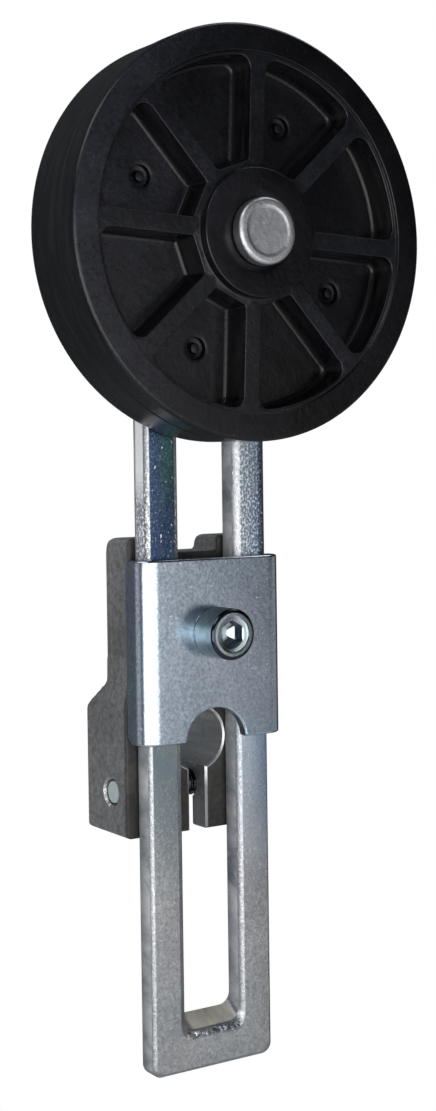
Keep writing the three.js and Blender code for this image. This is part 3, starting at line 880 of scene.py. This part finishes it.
def socket_rings(shell, place, face, inward, flats, depth, steps):
    """A hexagon socket from its mouth, at face, down to the point of its drilled bottom."""
    corner = flats / math.sqrt(3)
    hexagon = []
    for k in range(steps):
        angle = TURN * k / steps
        off = (angle + TURN / 12) % (TURN / 6) - TURN / 12
        radius = flats / 2 / math.cos(off)
        hexagon.append(np.array((radius * math.cos(angle), radius * math.sin(angle))))
    round_mouth = [(corner + 0.03) * np.array(p) for p in circle(1, steps)]
    rings = []
    for share, down in ((1.0, 0.0), (0.4, 0.05), (0.0, 0.18)):
        blend = [share * a + (1 - share) * b for a, b in zip(round_mouth, hexagon)]
        rings.append(shell.ring([place(*p, face + inward * down) for p in blend]))
    rings.append(shell.ring([place(*p, face + inward * depth) for p in hexagon]))
    rings.append(shell.ring([place(*(0.9 * p), face + inward * (depth + 0.04)) for p in hexagon]))
    shell.bridge_all(rings)
    shell.fan(rings[-1], place(0, 0, face + inward * (depth + 0.72)))
    return rings[0]


def cap_screw(name, place, crown, seat, tip, head_radius, flats, depth, tip_radius):
    """A socket head cap screw along one axis: crown to seat is the head, seat to tip the thread."""
    steps = 96
    inward = 1 if seat > crown else -1
    shell = Shell()
    outer_round, bead, sunk = 0.5, 0.26, 0.40
    ledge = head_radius - outer_round - bead - 0.12
    mouth_ring = socket_rings(shell, place, crown + inward * sunk, inward, flats, depth - sunk, steps)
    head = [(flats / math.sqrt(3) + 0.12, sunk - 0.01), (ledge - 0.1, sunk - 0.03), (ledge, sunk - 0.06)]
    head += [(ledge + bead - inset, down) for inset, down in reversed(quarter(bead, 5))]
    head = [(radius, down) for radius, down in head if down < sunk]
    head += [(head_radius - inset, down) for inset, down in quarter(outer_round, 8)]
    head = [(radius, crown + inward * down) for radius, down in head]
    head += [(head_radius, seat - inward * 0.12), (head_radius - 0.12, seat)]
    core, crest, pitch = 1.42, 1.66, 0.7
    rings = [mouth_ring]
    for radius, at in head:
        rings.append(shell.round(place, radius, at, steps))
    rings += thread_rings(shell, place, seat + inward * 0.02, tip - inward * 0.35, core, crest,
                          pitch, steps)
    for radius, at in ((core, tip - inward * 0.3), (tip_radius, tip - inward * 0.12)):
        rings.append(shell.round(place, radius, at, steps))
    shell.bridge_all(rings)
    shell.fan(rings[-1], place(0, 0, tip))
    return shell.made(name)


def make_cover_screw():
    crown, tip = COVER_SCREW_LOW[1], COVER_SCREW_HIGH[1]
    seat = COVER_LOW[1] - 0.05
    screw = cap_screw("cover_cap_screw", along_y(z=COVER_SCREW_Z), crown, seat, tip,
                      COVER_SCREW_HIGH[0], 3.0, 2.1, 1.2)
    return finished(screw, "cover_screw", "cover_screw", MATERIALS["screw"], 50)


def make_clamp_screw():
    crown, tip = CLAMP_SCREW_HIGH[0], CLAMP_SCREW_LOW[0]
    screw = cap_screw("clamp_cap_screw", along_x(CLAMP_Y, CLAMP_Z), crown, CLAMP_SEAT + 0.05, tip,
                      (CLAMP_SCREW_HIGH[2] - CLAMP_SCREW_LOW[2]) / 2, 3.0, 2.0, 1.38)
    return finished(screw, "clamp_screw", "clamp_screw", MATERIALS["clamp_screw"], 50)


# ---- axle

def make_pin():
    front, back = PIN_LOW[1], PIN_HIGH[1]
    head = (PIN_HIGH[0] - PIN_LOW[0]) / 2
    under = ROLLER_LOW[1] - 0.05  # just clear of the roller's boss
    shank, tenon, rivet = 2.58, 2.0, 3.3
    shoulder = LEVER_LOW[1] - 0.01
    rivet_face = LEVER_HIGH[1] + 0.02
    path = [(0, front + 0.09, 0), (head - 1.25, front + 0.09, 1.2), (head - 0.95, front, 0.6),
            (head, front, 0.5), (head, under, 0.1), (shank, under, 0), (shank, shoulder, 0),
            (tenon, shoulder, 0), (tenon, rivet_face, 0), (rivet, rivet_face, 0.08),
            (rivet - 0.1, rivet_face + 0.4, 0.3), (rivet - 1.1, back, 0.8), (0, back, 0)]
    shell = revolved(filleted(path, 6, closed=False), along_y(z=AXLE_Z), 96)
    return finished(shell.made("axle_rivet_pin"), "lever", "axle_pin", MATERIALS["pin"])


def ring_piece(name, inner, outer, front, back, edge, z, steps=96):
    path = [(inner, front, edge), (outer, front, edge), (outer, back, edge), (inner, back, edge)]
    return revolved(filleted(path, 3), along_y(z=z), steps).made(name)


def make_washer():
    washer = ring_piece("thrust_ring", 2.7, WASHER_HIGH[0], WASHER_LOW[1], WASHER_HIGH[1], 0.1, AXLE_Z)
    return finished(washer, "lever", "thrust_washer", MATERIALS["pin"])


def make_bush():
    bush = ring_piece("bronze_bush", 2.65, BUSH_HIGH[0], BUSH_LOW[1], BUSH_HIGH[1], 0.2, AXLE_Z)
    return finished(bush, "roller", "roller_bush", MATERIALS["bronze"])


# ---- roller

RIM_INNER = 21.6
ROLLER_TILT = math.radians(-2.3)
SPOKES = 8
SPOKE_HALF = 1.1
POCKET_OUTER, POCKET_INNER, POCKET_CORNER, POCKET_DEPTH = 21.2, 8.5, 1.5, 3.7
BOSS_RADIUS = 7.8
MARK_CIRCLE = 15.1  # the ejector marks' middles lie on this radius


def pocket_outline(spoke_angle, growth):
    """One pocket between two spokes, counterclockwise, about the roller's axis, made larger by growth."""
    step = TURN / SPOKES
    corner_circle = POCKET_OUTER - POCKET_CORNER
    sweep = math.asin((SPOKE_HALF + POCKET_CORNER) / corner_circle)
    first, last = spoke_angle + sweep, spoke_angle + step - sweep
    middle = spoke_angle + step / 2
    near = POCKET_INNER - growth
    half = near * math.tan(step / 2) - (SPOKE_HALF - growth) / math.cos(step / 2)
    corner = POCKET_CORNER + growth
    end_corner = max(0.45 + growth, 0.1)

    def at(angle):
        return (corner_circle * math.cos(angle), corner_circle * math.sin(angle))

    def end(b):
        c, s = math.cos(middle), math.sin(middle)
        return (near * c - b * s, near * s + b * c, end_corner)

    points = arc(at(first), corner, spoke_angle - math.pi / 2, first, 8)
    points += arc((0, 0), POCKET_OUTER + growth, first, last, 20)[1:-1]
    points += arc(at(last), corner, last, spoke_angle + step + math.pi / 2, 8)
    return points[:-1] + filleted([(*points[-1], 0), end(half), end(-half), (*points[0], 0)], 4)[:-1]


def make_roller():
    shell = Shell()
    steps = 240
    bore = 3.9

    def place(u, v, y):
        c, s = math.cos(ROLLER_TILT), math.sin(ROLLER_TILT)
        return (u * c - v * s, y, AXLE_Z + u * s + v * c)

    def flat(point):
        return point[0], point[2] - AXLE_Z

    def loop(points, y):
        return shell.ring([place(a, b, y) for a, b in points])

    def round_rings(levels, count):
        rings = [loop(circle(radius, count), y) for radius, y in levels]
        shell.bridge_all(rings)
        return rings

    def pocket(spoke, face, inward):
        """Walls of one pocket; returns its ring in the face and its ring round the floor."""
        lip, draft, fillet = 0.14, 0.2, 0.45
        levels = quarter(lip, 4)
        for t in np.linspace(0, math.pi / 2, 5):
            growth = -draft - fillet * (1 - math.cos(t))
            levels.append((growth, POCKET_DEPTH - fillet * (1 - math.sin(t))))
        levels.append((levels[-1][0] - 0.1, POCKET_DEPTH))
        rings = [loop(pocket_outline(spoke, growth), face + inward * down) for growth, down in levels]
        shell.bridge_all(rings)
        return rings[0], rings[-1]

    def mark(angle, floor, inward):
        """A round ejector mark with a pip; returns its ring in the pocket's floor."""
        centre = (MARK_CIRCLE * math.cos(angle), MARK_CIRCLE * math.sin(angle))
        pip = 0.08
        levels = [(1.9, 0.0), (1.46, 0.0), (1.38, 0.03), (1.33, 0.12), (1.30, 0.70),
                  (0.78, 0.78), (0.70, 0.70), (0.66, 0.22), (0.58, 0.12), (0.3, pip)]
        rings = [loop(circle(radius, 40, centre), floor + inward * down) for radius, down in levels]
        shell.bridge_all(rings)
        shell.fan(rings[-1], place(*centre, floor + inward * pip))
        return rings[0]

    def face(boss_plane, inward, boss_rise, rim_rise, with_marks):
        """One side of the roller; returns the ring at its rim and the ring at its bore."""
        plane = boss_plane + inward * boss_rise
        rim = [(ROLLER_RADIUS - edge, rim_rise)]
        if rim_rise:
            rim += [(RIM_INNER + 0.2, rim_rise), (RIM_INNER + 0.12, rim_rise - 0.05),
                    (RIM_INNER + 0.08, rim_rise - 0.12), (RIM_INNER, 0.05), (RIM_INNER - 0.05, 0.0)]
        rim_rings = round_rings([(radius, plane - inward * rise) for radius, rise in rim], steps)
        holes = []
        for k in range(SPOKES):
            spoke = k * TURN / SPOKES
            mouth, floor = pocket(spoke, plane, inward)
            holes.append(mouth)
            spots = []
            if with_marks and k % 2:
                spots = [mark(spoke + TURN / SPOKES / 2, plane + inward * POCKET_DEPTH, inward)]
            shell.fill(floor, spots, flat)
        boss = [(BOSS_RADIUS + 0.22, 0.0), (BOSS_RADIUS + 0.07, 0.07), (BOSS_RADIUS, 0.22)]
        boss += [(BOSS_RADIUS - inset, boss_rise - down) for inset, down in reversed(quarter(0.2, 4))]
        boss += [(5.2, boss_rise), (4.6, boss_rise - 0.12), (bore, boss_rise - 0.16)]
        boss_rings = round_rings([(radius, plane - inward * rise) for radius, rise in boss], 96)
        shell.fill(rim_rings[-1], [*holes, boss_rings[0]], flat)
        return rim_rings[0], boss_rings[-1]

    edge = 0.5
    back_step = 0.07  # the back of the tread is that much smaller than the front
    front = ROLLER_LOW[1] + FRONT_BOSS_RISE - RIM_RISE
    back = ROLLER_HIGH[1] - BACK_BOSS_RISE
    front_rim, front_bore = face(ROLLER_LOW[1], 1, FRONT_BOSS_RISE, RIM_RISE, True)
    back_rim, back_bore = face(ROLLER_HIGH[1], -1, BACK_BOSS_RISE, 0.0, False)
    rounds = [(ROLLER_RADIUS - inset, down) for inset, down in quarter(edge, 5)][1:]
    levels = [(radius, front + down) for radius, down in rounds]
    groove = [(0.0, -0.35), (0.04, -0.2), (0.20, 0.0), (0.08, 0.2), (back_step, 0.35)]
    levels += [(ROLLER_RADIUS - depth, TREAD_SEAM + along) for depth, along in groove]
    levels += [(radius - back_step, back - down) for radius, down in reversed(rounds)]
    rings = [loop(circle(radius, steps), y) for radius, y in levels]
    shell.bridge_all([front_rim, *rings, back_rim])
    shell.bridge(front_bore, back_bore)
    return finished(shell.made("rubber_roller"), "roller", "roller", MATERIALS["rubber"])


# ---- hub

def make_hub():
    half, upper = HUB_HIGH[0], 9.75
    top, bottom = HUB_HIGH[2], HUB_LOW[2]
    front, back = HUB_LOW[1], 0.0
    upper_back = front + 5.9
    shoulder_low, shoulder_high = 4.75, 7.75
    notch_half, notch_floor = 3.5, 23.95
    slope_low, slope_high = 3.95, 7.35  # the slope behind, from the jaws up to the upright
    core_front, core_top, core_half, core_mouth = -6.95, -6.0, 2.2, 7.2  # the hollow between the jaws
    past = 2.0  # how far a cutter stands out of what it cuts

    right = [(half, bottom, 0.6), (half, shoulder_low, 0.2), (upper + 0.12, shoulder_high, 1.0),
             (upper, UPRIGHT_FOOT, 0), (upper, top, 0.8), (notch_half, top, 0.4),
             (notch_half, notch_floor, 0.4)]
    outline = filleted(right + [(-x, z, r) for x, z, r in reversed(right)], 8)
    side = filleted([(front, bottom, 0), (back, bottom, 0.4), (back, slope_low, 0.8),
                     (upper_back, slope_high, 0.8), (upper_back, top, 1.8), (front, top, 0)], 8)
    core = [(-core_half, core_front), (core_half, core_front), (core_mouth, past), (-core_mouth, past)]

    hub = prism("hub_casting", outline, front, back, lambda x, z, y: (x, y, z))
    boolean(hub, prism("side", side, -half - past, half + past, lambda y, z, x: (x, y, z)), "INTERSECT")
    boolean(hub, prism("core", core, bottom - past, core_top, lambda x, y, z: (x, y, z)), "DIFFERENCE")
    remesh = hub.modifiers.new("cast_skin", "REMESH")
    remesh.mode = "VOXEL"
    remesh.voxel_size = 0.16
    remesh.use_smooth_shade = True
    smooth = hub.modifiers.new("cast_rounding", "SMOOTH")
    smooth.factor = 0.5
    smooth.iterations = 6
    settle(hub)

    # Machined features, cut after the casting's edges are rounded.
    slit = [(SLIT_HALF, past), (SLIT_HALF, front + 0.25), (SLIT_MOUTH, front), (SLIT_MOUTH, front - past)]
    slit += [(-x, y) for x, y in reversed(slit)]
    bore, mouth = BORE_RADIUS, BORE_RADIUS + 0.35
    thread, clearance, head_room, seat = 1.7, 1.85, 3.45, CLAMP_SEAT
    cuts = [
        prism("slit", slit, bottom - past, 0, lambda x, y, z: (x, y, z)),
        turned_cut("bore", [(bore + 0.2, front - past), (bore + 0.2, front), (bore, front + 0.2),
                            (bore, back - 0.35), (mouth, back), (mouth, past)], along_y()),
        turned_cut("cover_thread", [(2.0, front - past), (2.0, front), (thread, front + 0.3),
                                    (thread, upper_back - 0.3), (2.1, upper_back + 0.1),
                                    (2.1, upper_back + past)], along_y(z=COVER_SCREW_Z)),
        turned_cut("clamp_thread", [(1.98, -half - past), (1.98, -half), (thread, -half + 0.28),
                                    (thread, 0)], along_x(CLAMP_Y, CLAMP_Z)),
        turned_cut("clamp_clearance", [(clearance, 0), (clearance, seat), (head_room, seat),
                                       (head_room, half - 0.15), (head_room + 0.15, half),
                                       (head_room + 0.15, half + past)], along_x(CLAMP_Y, CLAMP_Z)),
    ]
    for cutter in cuts:
        boolean(hub, cutter, "DIFFERENCE")
    return finished(hub, "hub", "hub", MATERIALS["casting"], 40)


def turned_cut(name, profile, place):
    closed = [(0, profile[0][1]), *profile, (0, profile[-1][1])]
    return revolved(closed, place, 96).made(name)


# ---- studio

def make_floor():
    """A plain pale floor, some way below the part."""
    n = Nodes("pale_floor")
    n.set(Base_Color=n.ramp(n.noise(3, detail=2), [(0.4, 0.80), (0.6, 0.84)]), Roughness=0.9)
    height, radius, steps = LEVER_LOW[2] - 160, 330, 96
    data = bpy.data.meshes.new("floor")
    data.from_pydata([(x, y, height) for x, y in circle(radius, steps)], [], [tuple(range(steps))])
    data.transform(Matrix.Scale(MM, 4))
    data.materials.append(n.material)
    new_object("floor", data)


LIGHTS = {  # azimuth, elevation, half width, half height, radiance; see make_light
    "far_left_panel": (-105, -7, 15, 17, 0.38),
    "left_wall": (-48, -7, 20, 17, 3.4),
    "front_wall": (-5, -7, 22, 17, 2.3),
    "front_panel": (25, -7, 6, 17, 1.0),
    "right_wall": (85, -7, 15, 17, 0.3),
    "low_front_panel": (39, -14, 5, 11, 0.22),
    "low_right_wall": (58, -14, 14, 11, 0.3),
    "low_right_panel": (36, -34, 14, 8, 0.8),
    "left_top_softbox": (-80, 50, 25, 15, 2.2),
    "right_top_softbox": (90, 60, 20, 15, 1.8),
}


def make_light(name, azimuth, elevation, half_width, half_height, radiance):
    """A soft rectangular light, its place and half sizes given as angles seen from the part.

    Azimuth 0 is straight in front (-y), positive to the right (+x).
    """
    aim, distance = Vector((0, -0.012, 0.025)), 0.42
    data = bpy.data.lights.new(name, "AREA")
    data.shape = "RECTANGLE"
    data.size = 2 * distance * math.tan(math.radians(half_width))
    data.size_y = 2 * distance * math.tan(math.radians(half_height))
    data.energy = radiance * math.pi * data.size * data.size_y
    light = new_object(name, data)
    a, e = math.radians(azimuth), math.radians(elevation)
    away = Vector((math.sin(a) * math.cos(e), -math.cos(a) * math.cos(e), math.sin(e)))
    light.location = aim + away * distance
    light.rotation_euler = away.to_track_quat("Z", "Y").to_euler()
    light.visible_camera = False


def make_world():
    """White to the camera; what the part reflects is a soft grey, darker to the right."""
    world = bpy.data.worlds.new("studio")
    bpy.context.scene.world = world
    world.use_nodes = True
    world.node_tree.nodes.clear()
    new, link = world.node_tree.nodes.new, world.node_tree.links.new
    rays = new("ShaderNodeLightPath")
    seen = new("ShaderNodeBackground")
    seen.inputs["Color"].default_value = (1, 1, 1, 1)
    seen.inputs["Strength"].default_value = 1.0
    around = new("ShaderNodeBackground")
    around.inputs["Color"].default_value = (0.84, 0.92, 1.0, 1)
    where = new("ShaderNodeTexCoord")
    split = new("ShaderNodeSeparateXYZ")
    fade = new("ShaderNodeMapRange")
    for key, number in (("From Min", -0.5), ("From Max", 0.6), ("To Min", 0.15), ("To Max", 0.035)):
        fade.inputs[key].default_value = number
    link(where.outputs["Generated"], split.inputs[0])
    link(split.outputs[0], fade.inputs["Value"])
    link(fade.outputs[0], around.inputs["Strength"])
    mix = new("ShaderNodeMixShader")
    out = new("ShaderNodeOutputWorld")
    link(rays.outputs["Is Camera Ray"], mix.inputs[0])
    link(around.outputs[0], mix.inputs[1])
    link(seen.outputs[0], mix.inputs[2])
    link(mix.outputs[0], out.inputs[0])


def make_camera():
    """The view from the left of the front, nearly level with the cover plate."""
    data = bpy.data.cameras.new("camera")
    data.sensor_width = 36
    data.lens = 55.5
    data.shift_x, data.shift_y = 0.0056, -0.0491
    data.clip_start, data.clip_end = 0.01, 20
    camera = new_object("camera", data)
    yaw, pitch, roll = (math.radians(a) for a in (32.82, 1.54, -0.80))
    ahead = Vector((math.sin(yaw) * math.cos(pitch), math.cos(yaw) * math.cos(pitch), -math.sin(pitch)))
    side = Vector((math.cos(yaw), -math.sin(yaw), 0))
    over = side.cross(ahead)
    right = side * math.cos(roll) + over * math.sin(roll)
    up = over * math.cos(roll) - side * math.sin(roll)
    turned = Matrix((right, up, -ahead)).transposed().to_4x4()
    camera.matrix_world = Matrix.Translation((-0.11667, -0.19534, 0.03622)) @ turned
    bpy.context.scene.camera = camera


make_camera()
make_world()
make_floor()
for light, numbers in LIGHTS.items():
    make_light(light, *numbers)

make_lever()
make_cover()
make_cover_screw()
make_clamp_screw()
make_pin()
make_washer()
make_bush()
make_roller()
make_hub()

scene = bpy.context.scene
scene.view_settings.view_transform = "Standard"
